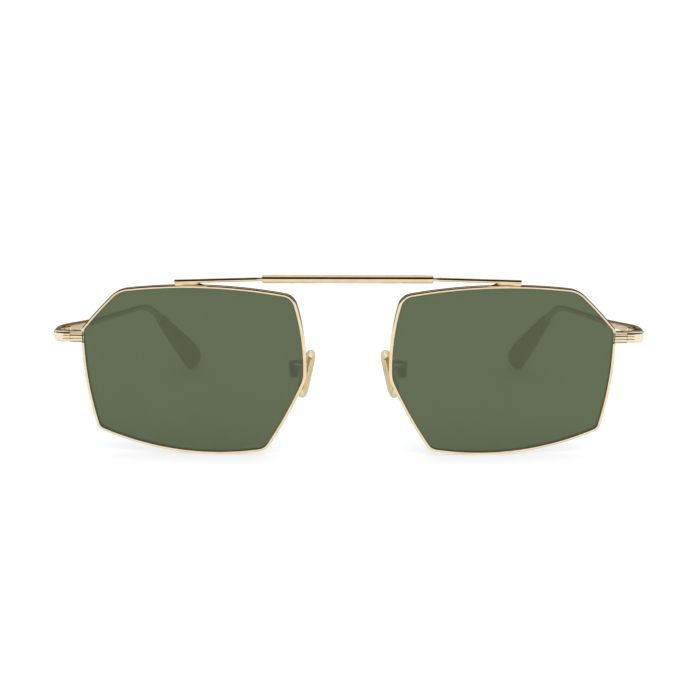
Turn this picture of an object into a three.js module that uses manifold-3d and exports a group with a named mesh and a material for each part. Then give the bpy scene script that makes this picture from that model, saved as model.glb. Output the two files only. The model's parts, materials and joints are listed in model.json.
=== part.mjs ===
// Metal-framed sunglasses: two six-sided rims joined only by a brow bar, screwed closing
// blocks, fluted end pieces, hinged temples with flat acetate tips, and rocking nose pads.
// Millimetres, +Z up, the wearer faces -Y and the wearer's left is +X. The glasses stand as on a
// table, temples open, on the lower rims and the two tips. The origin is on the table, under the
// middle of the object.

import * as THREE from 'three';
import { mergeVertices } from 'three/addons/utils/BufferGeometryUtils.js';
import Module from 'manifold-3d';

const wasm = await Module();
wasm.setup();

// ---------------------------------------------------------------- driving dimensions

// Lens shape: the visible lens inside the front lip of the rim, boxed.
const lensWidth = 54.25;
const lensHeight = 40.75;
const bridgeWidth = 21.8;
const wrapAngle = THREE.MathUtils.degToRad(6);

// Corners of the lens before rounding, as distances from the sides of its box.
const noseCornerHeight = 18.8;
const chinCornerInset = 9.65;
const chinCornerHeight = 1.3;
const cheekCornerInset = 3.45;
const cheekCornerHeight = 5.65;
const templeCornerDrop = 11.0;
const browCornerInset = 9.1;
const browCornerDrop = 1.3;
const innerCornerInset = 2.7;
const innerCornerDrop = 2.0;

// Corner radii and how far each side bows outwards.
const noseCornerRadius = 6;
const chinCornerRadius = 3;
const cheekCornerRadius = 2;
const templeCornerRadius = 2;
const browCornerRadius = 6;
const innerCornerRadius = 3;
const chinSideBow = 0.44;
const bottomBow = 3.08;
const templeSideBow = 0.92;
const browSideBow = 0.2;
const topBow = 1.65;
const noseSideBow = 0.95;

// Rim wire and lens edge.
const rimWidth = 0.72;
const rimDepth = 1.9;
const lensThickness = 1.8;
const ridgeHeight = 0.35;
const ridgeBase = 0.9;
const ridgeFlat = 0.08;
const ridgeRoot = 0.2;
const grooveEase = 0.15;

// Closing blocks, their screw and the end piece, all centred on the hinge height.
const hingeDrop = 12.7;
const hingeHeight = lensHeight - hingeDrop;
const endPieceHeight = 2.7;
const blockLength = 2.7;
const lockScrewInset = 0.95;
const lockScrewBack = 0.2;
const blockDepth = 2.8;
const blockProud = 0.15;
const blockSplitRise = 0.45;
const lockScrewRadius = 0.5;
const lockHeadRadius = 0.8;
const lockHeadHeight = 0.35;
const lockShankRise = 0.4;
const fluteRadius = 0.24;
const fluteSink = 0.08;
const fluteRises = [1.13, blockSplitRise, -0.25, -0.98];
const fluteRun = 1.7;
const strapThickness = 1.3;
const strapBevel = 0.25;
const elbowRadius = 2.2;
const elbowReach = 3.85;

// Hinge: a pin beside the butt joint between end piece and temple.
const leafEndClear = 0.49;
const buttGap = 0.1;
const knuckleRadius = 1.1;
const knuckleHeight = 0.75;
const hingePinRadius = 0.5;
const hingeHeadRadius = 0.72;
const hingeHeadHeight = 0.35;
const leafThickness = 0.6;
const frontLeafLength = 2.6;
const templeLeafLength = 4.2;
const leafHeight = 2.0;
const knuckleClear = 0.15;
const webOverlap = 0.4;

// Temple: a flattened wire that bows, drops behind the ear and carries a flat tip.
const pantoscopicAngle = THREE.MathUtils.degToRad(6.2);
const bendDistance = 85;
const bendInset = 11.9;
const midDistance = 60;
const midInset = 7.3;
const bowDistance = 30;
const bowInset = 3.8;
const dropLength = 45.5;
const dropAngle = THREE.MathUtils.degToRad(36);
const tipInwardAngle = THREE.MathUtils.degToRad(13);
const bendBlend = 5;
const templeThickness = 1.25;
const templeRootHeight = 2.6;
const templeHeight = 1.4;
const templeBendHeight = 2.0;
const templeTaperEnd = 0.42;
const templeSwellStart = 0.75;
const templeSquareness = 0.6;
const tipStart = 9.4;
const tipRootWidth = 3.3;
const tipWidth = 6.7;
const tipWidestAt = 0.72;
const tipBelowWire = 1.45;
const tipThickness = 2.6;
const tipTwist = THREE.MathUtils.degToRad(28);
const tipTwistEnd = 0.35;
const tipSquareness = 0.75;
const tipRootLength = 0.8;
const tipRootShare = 0.75;
const tipEndShare = 0.08;
const tipEdgeShare = 0.3;
const coreRadius = 0.55;
const coreLength = 24;
const coreGap = 0.08;
const coreEndGap = 0.3;

// Brow bar: one bent rod through a thicker sleeve.
const browRodRadius = 0.48;
const browKneeRadius = 0.52;
const browSleeveRadius = 1.0;
const browSleeveLength = 41.3;
const browSleeveChamfer = 0.35;
const browLift = 1.83;
const browArmLift = 0.4;
const browBendClear = 0.4;
const browDepth = 1.0;
const browArmShare = 0.573;
const browArmTip = 0.15;
const browFootLength = 7.9;
const browFootThickness = 0.7;
const browFootDrop = 1.6;
const browFootSquareness = 0.5;

// Nose pads, each on a screwed box at the end of a bent wire arm.
const padHeight = 12.2;
const padWidth = 6.8;
const padThickness = 1.8;
const padEdgeRound = 0.5;
const padStandIn = 0.6;
const padCentreY = 7.4;
const padDrop = 0.2;
const padLowRound = 0.5;
const padHighRound = 0.42;
const padLean = THREE.MathUtils.degToRad(14);
const padSplay = THREE.MathUtils.degToRad(12);
const insertThickness = 0.5;
const insertWidth = 3.6;
const insertHeight = 8;
const tabThickness = 1.1;
const tabHeight = 1.9;
const padScrewOffset = 2.3;
const padScrewRadius = 0.4;
const padHeadRadius = 0.75;
const padHeadHeight = 0.35;
const boxCheek = 0.55;
const boxLength = 2.3;
const boxHeight = 2.8;
const boxClear = 0.35;
const webClear = 0.15;
const armRadius = 0.5;
const armRootRise = 3.4;
const armRootDepth = 0.3;
const armReachBack = 3.0;
const armReachOut = 0.7;
const armTurnRise = 0.6;
const armTurnOut = 0.7;
const armTurnSide = 0.9;

// Clearances between neighbouring pieces.
const seatGap = 0.05;
const boreGap = 0.05;
const pocketGap = 0.05;

// Screw slots, the sides of round pieces, and how far a cutting tool reaches past its piece.
const slotHalf = 0.14;
const slotFloor = 0.45;
const roundSides = 16;
const fineSides = 20;
const past = 1;

// ---------------------------------------------------------------- materials

const finish = (color, roughness, metalness, extra = {}) =>
  new THREE.MeshStandardMaterial({ color, roughness, metalness, ...extra });
const paleGold = () => finish(0xe9cfa0, 0.2, 1);
const brightGold = () => finish(0xf2dcb4, 0.18, 1);
const greenLens = () => finish(0x4f5f45, 0.05, 0, { transparent: true, opacity: 0.85 });
const amberTip = () => finish(0x8a5a2b, 0.25, 0);
const clearPad = () => finish(0xe6dfb4, 0.3, 0, { transparent: true, opacity: 0.7 });

// ---------------------------------------------------------------- solids

function toSolid(geometry) {
  const bare = geometry.clone();
  bare.deleteAttribute('normal');
  bare.deleteAttribute('uv');
  const merged = mergeVertices(bare, 1e-4);
  const vertProperties = new Float32Array(merged.attributes.position.array);
  const triVerts = new Uint32Array(merged.index.array);
  return new wasm.Manifold(new wasm.Mesh({ numProp: 3, vertProperties, triVerts }));
}

function toGeometry(solid) {
  const mesh = solid.getMesh();
  const geometry = new THREE.BufferGeometry();
  geometry.setAttribute('position', new THREE.BufferAttribute(new Float32Array(mesh.vertProperties), 3));
  geometry.setIndex(new THREE.BufferAttribute(new Uint32Array(mesh.triVerts), 1));
  geometry.computeVertexNormals();
  return geometry;
}

// Joins the first list of geometries and cuts the second list away.
function carve(joined, cuts = []) {
  let solid = toSolid(joined[0]);
  for (const piece of joined.slice(1)) {
    solid = solid.add(toSolid(piece));
  }
  for (const cut of cuts) {
    solid = solid.subtract(toSolid(cut));
  }
  return toGeometry(solid);
}

function addMesh(group, name, geometry, material) {
  const mesh = new THREE.Mesh(geometry, material);
  mesh.name = name;
  group.add(mesh);
  return mesh;
}

// A box from its lowest to its highest corner.
function block(low, high) {
  const geometry = new THREE.BoxGeometry(high[0] - low[0], high[1] - low[1], high[2] - low[2]);
  return geometry.translate((low[0] + high[0]) / 2, (low[1] + high[1]) / 2, (low[2] + high[2]) / 2);
}

// An upright cylinder standing on a point.
function post(radius, x, y, low, high, sides = roundSides) {
  const geometry = new THREE.CylinderGeometry(radius, radius, high - low, sides);
  return geometry.rotateX(Math.PI / 2).translate(x, y, (low + high) / 2);
}

// A flat plate of a front-view outline, from one depth to another.
function plate(points, front, back) {
  const settings = { depth: back - front, bevelEnabled: false };
  const geometry = new THREE.ExtrudeGeometry(new THREE.Shape(points), settings);
  return geometry.rotateX(Math.PI / 2).translate(0, back, 0);
}

// A plate whose edge is a ridge: it stands out by height over the given base.
function ridgedPlate(points, centre, height, base, flat) {
  const bevelThickness = (base - flat) / 2;
  const settings = { depth: flat, bevelThickness, bevelSize: height, bevelSegments: 1 };
  const geometry = new THREE.ExtrudeGeometry(new THREE.Shape(points), settings);
  return geometry.rotateX(Math.PI / 2).translate(0, centre + flat / 2, 0);
}

// A stretch of a curve, measured along it in millimetres.
class Stretch extends THREE.Curve {
  constructor(curve, from, to) {
    super();
    this.curve = curve;
    this.start = from / curve.getLength();
    this.span = (to - from) / curve.getLength();
  }

  getPoint(t, target = new THREE.Vector3()) {
    return this.curve.getPointAt(THREE.MathUtils.clamp(this.start + this.span * t, 0, 1), target);
  }
}

// A solid swept along a curve: the rings of a capped cylinder are moved onto the curve.
// section(along) gives the half sizes, the rise of the centre, the twist and the squareness.
function sweep(curve, steps, sides, section, spacing = (t) => t) {
  const geometry = new THREE.CylinderGeometry(1, 1, 1, sides, steps);
  const place = geometry.attributes.position;
  for (let i = 0; i < place.count; i += 1) {
    const along = spacing(THREE.MathUtils.clamp(place.getY(i) + 0.5, 0, 1));
    const shape = section(along);
    const power = shape.square ?? 1;
    const wide = shape.half * Math.sign(place.getX(i)) * Math.abs(place.getX(i)) ** power;
    const tall = shape.tall * Math.sign(place.getZ(i)) * Math.abs(place.getZ(i)) ** power;
    const twist = shape.twist ?? 0;
    const out = wide * Math.cos(twist) - (tall + (shape.rise ?? 0)) * Math.sin(twist);
    const lift = wide * Math.sin(twist) + (tall + (shape.rise ?? 0)) * Math.cos(twist);
    const tangent = curve.getTangent(along);
    const sideways = tangent.clone().cross(new THREE.Vector3(0, 0, 1)).normalize();
    const upwards = sideways.clone().cross(tangent);
    const point = curve.getPoint(along).addScaledVector(sideways, out).addScaledVector(upwards, lift);
    place.setXYZ(i, point.x, point.y, point.z);
  }
  return geometry;
}

const roundSection = (radius) => () => ({ half: radius, tall: radius });

// ---------------------------------------------------------------- lens outline

// Lens corners in order, anticlockwise in front view: place, radius, bow of the side that follows.
const lensCorners = [
  { x: 0, y: noseCornerHeight, radius: noseCornerRadius, bow: chinSideBow, steps: 3 },
  { x: chinCornerInset, y: chinCornerHeight, radius: chinCornerRadius, bow: bottomBow, steps: 9 },
  { x: lensWidth - cheekCornerInset, y: cheekCornerHeight, radius: cheekCornerRadius,
    bow: templeSideBow, steps: 5 },
  { x: lensWidth, y: lensHeight - templeCornerDrop, radius: templeCornerRadius,
    bow: browSideBow, steps: 2 },
  { x: lensWidth - browCornerInset, y: lensHeight - browCornerDrop, radius: browCornerRadius,
    bow: topBow, steps: 8 },
  { x: innerCornerInset, y: lensHeight - innerCornerDrop, radius: innerCornerRadius,
    bow: noseSideBow, steps: 4 },
];
const cornerSteps = 5;

// The circle that a bowed side lies on.
function sideCircle(from, to) {
  const chord = new THREE.Vector2(to.x - from.x, to.y - from.y);
  const length = chord.length();
  const radius = length ** 2 / (8 * from.bow) + from.bow / 2;
  const inward = new THREE.Vector2(-chord.y, chord.x).normalize();
  const middle = new THREE.Vector2((from.x + to.x) / 2, (from.y + to.y) / 2);
  return { centre: middle.addScaledVector(inward, radius - from.bow), radius };
}

// The centre of the round corner that touches two side circles from inside.
function roundCentre(corner, before, after) {
  const reachBefore = before.radius - corner.radius;
  const reachAfter = after.radius - corner.radius;
  const between = after.centre.clone().sub(before.centre);
  const distance = between.length();
  const along = (distance ** 2 + reachBefore ** 2 - reachAfter ** 2) / (2 * distance);
  const across = Math.sqrt(reachBefore ** 2 - along ** 2);
  const unit = between.clone().normalize();
  const normal = new THREE.Vector2(-unit.y, unit.x);
  const foot = before.centre.clone().addScaledVector(unit, along);
  const one = foot.clone().addScaledVector(normal, across);
  const other = foot.clone().addScaledVector(normal, -across);
  const place = new THREE.Vector2(corner.x, corner.y);
  return one.distanceTo(place) < other.distanceTo(place) ? one : other;
}

function arcPoints(centre, radius, from, to, steps) {
  const points = [];
  const turn = THREE.MathUtils.euclideanModulo(to - from + Math.PI, 2 * Math.PI) - Math.PI;
  for (let i = 0; i < steps; i += 1) {
    const angle = from + (turn * i) / steps;
    points.push(new THREE.Vector2(Math.cos(angle), Math.sin(angle)).multiplyScalar(radius).add(centre));
  }
  return points;
}

// The lens outline in front view, moved outwards by an offset.
function lensOutline(offset = 0) {
  const count = lensCorners.length;
  const sides = lensCorners.map((corner, i) => sideCircle(corner, lensCorners[(i + 1) % count]));
  const rounds = lensCorners.map((corner, i) =>
    roundCentre(corner, sides[(i + count - 1) % count], sides[i]));
  const angleFrom = (side, round) => Math.atan2(round.y - side.centre.y, round.x - side.centre.x);
  const points = [];
  lensCorners.forEach((corner, i) => {
    const before = angleFrom(sides[(i + count - 1) % count], rounds[i]);
    const after = angleFrom(sides[i], rounds[i]);
    const next = angleFrom(sides[i], rounds[(i + 1) % count]);
    points.push(...arcPoints(rounds[i], corner.radius + offset, before, after, cornerSteps));
    points.push(...arcPoints(sides[i].centre, sides[i].radius + offset, after, next, corner.steps));
  });
  return points;
}

// ---------------------------------------------------------------- rim, lens and closing blocks

const rimMiddle = rimDepth / 2;
const blockLow = hingeHeight - endPieceHeight / 2;
const blockHigh = hingeHeight + endPieceHeight / 2;
const blockStart = lensWidth - past;
const blockEnd = lensWidth + rimWidth + blockLength;
const blockFront = -blockProud;
const blockBack = blockDepth - blockProud;
const blockSplit = hingeHeight + blockSplitRise;
const lockScrewX = blockEnd - lockScrewInset;
const lockScrewY = (blockFront + blockBack) / 2 + lockScrewBack;

function rimGeometry() {
  const ring = plate(lensOutline(rimWidth), 0, rimDepth);
  const hole = plate(lensOutline(0), -past, rimDepth + past);
  const groove = ridgedPlate(lensOutline(-ridgeRoot), rimMiddle, ridgeHeight + pocketGap + ridgeRoot,
    ridgeBase + 2 * (pocketGap + grooveEase), ridgeFlat);
  const saw = block([blockStart - past, -past, blockLow - seatGap],
    [blockEnd, rimDepth + past, blockHigh + seatGap]);
  return carve([ring], [hole, groove, saw]);
}

function lensGeometry() {
  const front = rimMiddle - lensThickness / 2;
  const back = rimMiddle + lensThickness / 2;
  const body = plate(lensOutline(-seatGap), front, back);
  const ridge = ridgedPlate(lensOutline(-ridgeRoot), rimMiddle, ridgeHeight + ridgeRoot, ridgeBase,
    ridgeFlat);
  return carve([body, ridge]);
}

// Round-bottomed flutes along the front of the blocks and the end piece.
function flutes(from, to) {
  return fluteRises.map((rise) => {
    const tool = new THREE.CylinderGeometry(fluteRadius, fluteRadius, to - from, 8);
    return tool.rotateZ(Math.PI / 2).translate((from + to) / 2, blockFront - fluteSink, hingeHeight + rise);
  });
}

const lensRoom = () => plate(lensOutline(ridgeHeight + seatGap), blockFront - past, blockBack + past);
const lockBore = (low, high) => post(lockScrewRadius + boreGap, lockScrewX, lockScrewY, low, high);

function upperBlockGeometry() {
  const body = block([blockStart, blockFront, blockSplit + seatGap], [blockEnd, blockBack, blockHigh]);
  const sink = post(lockHeadRadius + boreGap, lockScrewX, lockScrewY, blockHigh - lockHeadHeight,
    blockHigh + past);
  return carve([body], [lensRoom(), lockBore(blockSplit - past, blockHigh + past), sink,
    ...flutes(blockStart - past, blockEnd + past)]);
}

function lowerBlockGeometry() {
  const body = block([blockStart, blockFront, blockLow], [blockEnd, blockBack, blockSplit - seatGap]);
  return carve([body], [lensRoom(), lockBore(blockLow - past, blockSplit + past),
    ...flutes(blockStart - past, blockEnd + past)]);
}

// An upright screw: the seat of its head is at the origin.
function slottedScrew(radius, headRadius, headHeight, length) {
  const shank = post(radius, 0, 0, -length, headHeight * slotFloor);
  const head = post(headRadius, 0, 0, 0, headHeight, fineSides);
  const slot = block([-headRadius, -slotHalf, headHeight * slotFloor],
    [headRadius, slotHalf, headHeight + past]);
  return carve([shank, head], [slot]);
}

// ---------------------------------------------------------------- end piece and hinge

// Places in the lens frame seen from above, taken to the frame of the whole front.
function lensToFront(x, y) {
  const turned = new THREE.Vector2(x, y).rotateAround(new THREE.Vector2(), wrapAngle);
  return turned.add(new THREE.Vector2(bridgeWidth / 2, 0));
}

const templeLineX = lensToFront(blockEnd, 0).x + elbowReach;
const leafClear = knuckleRadius + knuckleClear;
const buttJointY = lensToFront(blockEnd, blockBack).y + leafEndClear + frontLeafLength + leafClear;
const strapOuterX = templeLineX + strapThickness / 2;
const strapInnerX = templeLineX - strapThickness / 2;
const hingeX = strapInnerX - seatGap - knuckleRadius;
const hingeY = buttJointY;

// The end piece seen from above: a strap that leaves the block, turns the elbow and runs back.
function endPieceGeometry() {
  const frontStart = lensToFront(blockEnd + seatGap, blockFront);
  const backStart = lensToFront(blockEnd + seatGap, blockBack);
  const slope = Math.tan(wrapAngle);
  const frontCorner = new THREE.Vector2(strapOuterX, frontStart.y + (strapOuterX - frontStart.x) * slope);
  const backCorner = new THREE.Vector2(strapInnerX, backStart.y + (strapInnerX - backStart.x) * slope);
  const shape = new THREE.Shape();
  shape.moveTo(frontStart.x, frontStart.y);
  shape.lineTo(frontCorner.x - elbowRadius, frontCorner.y - elbowRadius * slope);
  shape.quadraticCurveTo(frontCorner.x, frontCorner.y, frontCorner.x, frontCorner.y + elbowRadius);
  shape.lineTo(strapOuterX, buttJointY - buttGap / 2);
  shape.lineTo(strapInnerX, buttJointY - buttGap / 2);
  shape.lineTo(backCorner.x, backCorner.y);
  shape.lineTo(backStart.x, backStart.y);
  const settings = { depth: endPieceHeight - 2 * strapBevel, bevelThickness: strapBevel,
    bevelSize: strapBevel, bevelOffset: -strapBevel, bevelSegments: 1, curveSegments: 8 };
  const strap = new THREE.ExtrudeGeometry(shape, settings);
  strap.translate(0, 0, blockLow + strapBevel);
  const root = block([blockEnd + seatGap, blockFront, blockLow], [blockEnd + fluteRun, blockBack, blockHigh]);
  const cuts = flutes(blockEnd - past, blockEnd + fluteRun);
  for (const tool of [root, ...cuts]) {
    tool.rotateZ(wrapAngle).translate(bridgeWidth / 2, 0, 0);
  }
  return carve([strap, root], cuts);
}

const knuckleLevels = [-1, 0, 1].map((level) => hingeHeight + level * (knuckleHeight + seatGap));
const knuckle = (level) =>
  post(knuckleRadius, hingeX, hingeY, level - knuckleHeight / 2, level + knuckleHeight / 2, fineSides);
const hingeTop = knuckleLevels[2] + knuckleHeight / 2;
const hingeBottom = knuckleLevels[0] - knuckleHeight / 2;
const hingeBore = () =>
  post(hingePinRadius + boreGap, hingeX, hingeY, hingeBottom - past, hingeTop + past);
const hingeSink = () =>
  post(hingeHeadRadius + boreGap, hingeX, hingeY, hingeTop - hingeHeadHeight, hingeTop + past);
const leafInner = strapInnerX - seatGap - leafThickness;
const leafOuter = strapInnerX - seatGap;

// A hinge half: a leaf along the strap or the temple, and a web to each of its knuckles.
function hingeHalfGeometry(levels, direction, leafLength, slope) {
  const near = hingeY + direction * leafClear;
  const far = near + direction * leafLength;
  const leaf = block([leafInner, Math.min(near, far), hingeHeight - leafHeight / 2],
    [leafOuter, Math.max(near, far), hingeHeight + leafHeight / 2]);
  const lean = new THREE.Matrix4().makeShear(0, 0, 0, slope, 0, 0);
  leaf.translate(0, -hingeY, 0).applyMatrix4(lean).translate(0, hingeY, 0);
  const pieces = [leaf];
  for (const level of levels) {
    const low = Math.min(hingeY, near + direction * webOverlap);
    const high = Math.max(hingeY, near + direction * webOverlap);
    const web = block([leafInner, low, level - knuckleHeight / 2],
      [leafOuter, high, level + knuckleHeight / 2]);
    pieces.push(knuckle(level), web);
  }
  return carve(pieces, [hingeBore(), hingeSink()]);
}

// ---------------------------------------------------------------- temple

const templeSlope = -Math.tan(pantoscopicAngle);
const templeRootY = buttJointY + buttGap / 2;

function templePoint(distance, inset) {
  return new THREE.Vector3(templeLineX - inset, buttJointY + distance, hingeHeight + distance * templeSlope);
}

// The middle of the wire from the butt joint to the end of the tip.
function templeCurve() {
  const bend = templePoint(bendDistance, bendInset);
  const mid = templePoint(midDistance, midInset);
  const arrive = bend.clone().sub(mid).normalize();
  const leave = new THREE.Vector3(
    -Math.sin(tipInwardAngle) * Math.cos(dropAngle),
    Math.cos(tipInwardAngle) * Math.cos(dropAngle),
    -Math.sin(dropAngle),
  );
  const halfway = dropLength / 2;
  return new THREE.CatmullRomCurve3([
    templePoint(-buttGap, 0),
    templePoint(templeLeafLength + leafClear, 0),
    templePoint(bowDistance, bowInset),
    mid,
    bend.clone().addScaledVector(arrive, -bendBlend),
    bend.clone().addScaledVector(leave, bendBlend),
    bend.clone().addScaledVector(leave, halfway),
    bend.clone().addScaledVector(leave, dropLength),
  ], false, 'centripetal');
}

const templePath = templeCurve();
const templePathLength = templePath.getLength();
const tipPathStart = templePathLength - dropLength + tipStart;
const smooth = (value, from, to) => THREE.MathUtils.smoothstep(value, from, to);

function templeArmGeometry() {
  const wire = sweep(new Stretch(templePath, 0, tipPathStart - seatGap), 34, 12, (along) => {
    const taper = smooth(along, 0, templeTaperEnd);
    const swell = smooth(along, templeSwellStart, 1);
    const height = templeRootHeight + (templeHeight - templeRootHeight) * taper
      + (templeBendHeight - templeHeight) * swell;
    return { half: templeThickness / 2, tall: height / 2, square: templeSquareness };
  });
  const core = sweep(new Stretch(templePath, tipPathStart - past, tipPathStart + coreLength), 12, 8,
    roundSection(coreRadius));
  const rootLow = hingeHeight - templeRootHeight;
  const rootHigh = hingeHeight + templeRootHeight;
  const leafSeat = block([strapInnerX - templeThickness, hingeY - past, rootLow],
    [strapInnerX, hingeY + leafClear + templeLeafLength + seatGap, rootHigh]);
  const buttCut = block([strapInnerX - templeThickness, hingeY - past, rootLow],
    [strapOuterX + templeThickness, templeRootY, rootHigh]);
  return carve([wire, core], [leafSeat, buttCut]);
}

function templeTipGeometry() {
  const tipLength = templePathLength - tipPathStart;
  const endRound = tipWidth / 2;
  const paddle = sweep(new Stretch(templePath, tipPathStart, templePathLength), 22, 14, (along) => {
    const widen = Math.min(along / tipWidestAt, 1);
    const width = tipRootWidth + (tipWidth - tipRootWidth) * widen;
    const fromEnd = (1 - along) * tipLength;
    const beyond = Math.max(0, 1 - fromEnd / endRound);
    const close = Math.max(tipEndShare, Math.sqrt(1 - beyond ** 2));
    const open = tipRootShare + (1 - tipRootShare) * smooth(along * tipLength, 0, tipRootLength);
    return {
      half: (tipThickness / 2) * Math.max(tipEdgeShare, Math.sqrt(close)) * open,
      tall: (width / 2) * close * open,
      rise: width / 2 - tipBelowWire,
      twist: tipTwist * smooth(along, 0, tipTwistEnd),
      square: tipSquareness,
    };
  }, (t) => Math.sin((t * Math.PI) / 2));
  const boreEnd = tipPathStart + coreLength + coreEndGap;
  const bore = sweep(new Stretch(templePath, tipPathStart - past, boreEnd), 12, 8,
    roundSection(coreRadius + coreGap));
  return carve([paddle], [bore]);
}

// ---------------------------------------------------------------- brow bar

// From the sleeve's end each arm sweeps back with the wrap and down onto the top of its rim.
const rimTop = lensHeight + rimWidth;
const browRise = rimTop + browLift;
const browSweep = Math.tan(wrapAngle);
const browBend = browSleeveLength / 2 + browBendClear;
const browArmReach = bridgeWidth / 2 + browArmShare * lensWidth;
const browArmEnd = new THREE.Vector3(browArmReach, browDepth + (browArmReach - browBend) * browSweep,
  rimTop + browRodRadius + browArmLift);

// The room that a rim takes up in the frame of the front: side 1 is the wearer's left.
function rimRoom(side, behind) {
  const points = lensOutline(rimWidth + seatGap).map((point) => new THREE.Vector2(side * point.x, point.y));
  const room = plate(points, -past, rimDepth + behind);
  return room.rotateZ(side * wrapAngle).translate((side * bridgeWidth) / 2, 0, 0);
}

function browRodGeometry() {
  const pieces = [sweep(new THREE.LineCurve3(new THREE.Vector3(-browBend, browDepth, browRise),
    new THREE.Vector3(browBend, browDepth, browRise)), 1, roundSides, roundSection(browRodRadius))];
  for (const side of [-1, 1]) {
    const bendPoint = new THREE.Vector3(side * browBend, browDepth, browRise);
    const end = new THREE.Vector3(side * browArmEnd.x, browArmEnd.y, browArmEnd.z);
    const armLength = bendPoint.distanceTo(end);
    const shoulder = 1 - browArmTip / armLength;
    const arm = sweep(new THREE.LineCurve3(bendPoint, end), 2, roundSides, (along) => {
      const radius = browRodRadius - (along > shoulder ? browArmTip : 0);
      return { half: radius, tall: radius };
    }, (t) => (t === 0.5 ? shoulder : t));
    const knee = new THREE.SphereGeometry(browKneeRadius, roundSides, 8);
    knee.translate(bendPoint.x, bendPoint.y, bendPoint.z);
    const footStart = bendPoint.clone().lerp(end, 1 - browFootLength / armLength);
    const footEnd = bendPoint.clone().lerp(end, 1 - (2 * browArmTip) / armLength);
    const foot = sweep(new THREE.LineCurve3(footStart, footEnd), 1, 12, () => ({
      half: browFootThickness / 2,
      tall: browFootDrop / 2,
      rise: -browFootDrop / 2,
      square: browFootSquareness,
    }));
    pieces.push(arm, knee, foot);
  }
  return carve(pieces, [rimRoom(-1, past), rimRoom(1, past)]);
}

function browSleeveGeometry() {
  const half = browSleeveLength / 2;
  const bore = browRodRadius + boreGap;
  const nose = browSleeveRadius - browSleeveChamfer;
  const profile = [[bore, -half], [nose, -half], [browSleeveRadius, -half + browSleeveChamfer],
    [browSleeveRadius, half - browSleeveChamfer], [nose, half], [bore, half], [bore, -half]];
  const geometry = new THREE.LatheGeometry(profile.map(([x, y]) => new THREE.Vector2(x, y)), fineSides);
  return geometry.rotateZ(Math.PI / 2).translate(0, browDepth, browRise);
}

// ---------------------------------------------------------------- nose pads

// Pad pieces are built around the pad's middle: -X is the bearing face, Y the width, Z the height.
// The pad screw runs along Y, behind the pad.
const padOutline = (width, height) => {
  const shape = new THREE.Shape();
  const lowRound = width * padLowRound;
  const highRound = width * padHighRound;
  shape.moveTo(lowRound, -height / 2 + lowRound);
  shape.lineTo(highRound, height / 2 - highRound);
  shape.absarc(0, height / 2 - highRound, highRound, 0, Math.PI, false);
  shape.lineTo(-lowRound, -height / 2 + lowRound);
  shape.absarc(0, -height / 2 + lowRound, lowRound, Math.PI, 2 * Math.PI, false);
  return shape;
};

// A plate standing across X, from an outline in width and height.
function cheekPlate(shape, low, high, bevel, curveSegments = 7) {
  const settings = { depth: high - low - 2 * bevel, bevelEnabled: bevel > 0, bevelThickness: bevel,
    bevelSize: bevel, bevelOffset: -bevel, bevelSegments: 2, curveSegments };
  const geometry = new THREE.ExtrudeGeometry(shape, settings);
  return geometry.rotateX(Math.PI / 2).rotateZ(Math.PI / 2).translate(low + bevel, 0, 0);
}

const insertHalf = insertThickness / 2;
const tabReach = padScrewOffset + tabHeight / 2;

function insertShapes(gap) {
  const leaf = block([-insertHalf - gap, -insertWidth / 2 - gap, -insertHeight / 2 - gap],
    [insertHalf + gap, insertWidth / 2 + gap, insertHeight / 2 + gap]);
  const neck = block([0, -tabThickness / 2 - gap, -tabHeight / 2 - gap],
    [padScrewOffset, tabThickness / 2 + gap, tabHeight / 2 + gap]);
  return [leaf, neck];
}

function padGeometry() {
  const body = cheekPlate(padOutline(padWidth, padHeight), -padThickness / 2, padThickness / 2, padEdgeRound);
  return carve([body], insertShapes(pocketGap));
}

// A cylinder along Y.
function pinAcross(radius, x, low, high, sides = roundSides) {
  return new THREE.CylinderGeometry(radius, radius, high - low, sides).translate(x, (low + high) / 2, 0);
}

function insertGeometry() {
  const eye = pinAcross(tabHeight / 2, padScrewOffset, -tabThickness / 2, tabThickness / 2);
  const bore = pinAcross(padScrewRadius + boreGap, padScrewOffset, -tabThickness, tabThickness);
  return carve([...insertShapes(0), eye], [bore]);
}

const armRootHeight = noseCornerHeight + armRootRise;
const boxInside = tabThickness / 2 + seatGap;
const boxOutside = boxInside + boxCheek;
const boxNear = padThickness / 2 + boxClear;
const webNear = tabReach + webClear;
const boxFar = webNear + boxCheek;

function padScrewGeometry() {
  const screw = slottedScrew(padScrewRadius, padHeadRadius, padHeadHeight, 2 * boxOutside - seatGap);
  return screw.rotateX(-Math.PI / 2).translate(padScrewOffset, boxOutside + seatGap, 0);
}

// The arm leaves the back of the rim, runs backwards and turns down into the web of the box.
// toFront takes places of the pad to the frame of the front, and its inverse brings the rim's in.
function padArmGeometry(toFront) {
  const box = block([boxNear, -boxOutside, -boxHeight / 2], [boxFar, boxOutside, boxHeight / 2]);
  const slot = block([boxNear - past, -boxInside, -boxHeight], [webNear, boxInside, boxHeight]);
  const bore = pinAcross(padScrewRadius + boreGap, padScrewOffset, -boxOutside - past, boxOutside + past);
  const root = lensToFront(armRadius - rimWidth, rimDepth - armRootDepth);
  const side = noseSideAt(armRootHeight);
  const inward = toFront.clone().invert();
  const start = new THREE.Vector3(root.x + side, root.y, armRootHeight).applyMatrix4(inward);
  const behind = new THREE.Vector3(root.x + side + armReachOut, root.y + armReachBack, armRootHeight)
    .applyMatrix4(inward);
  const turn = new THREE.Vector3(boxFar + armTurnOut, -armTurnSide, boxHeight / 2 + armTurnRise);
  const end = new THREE.Vector3(boxFar, 0, 0);
  const wire = new THREE.CatmullRomCurve3([start, behind, turn, end], false, 'centripetal');
  const tube = sweepFree(wire, 14, 8, armRadius);
  return carve([box, tube], [slot, bore, rimRoom(1, seatGap).applyMatrix4(inward)]);
}

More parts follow.
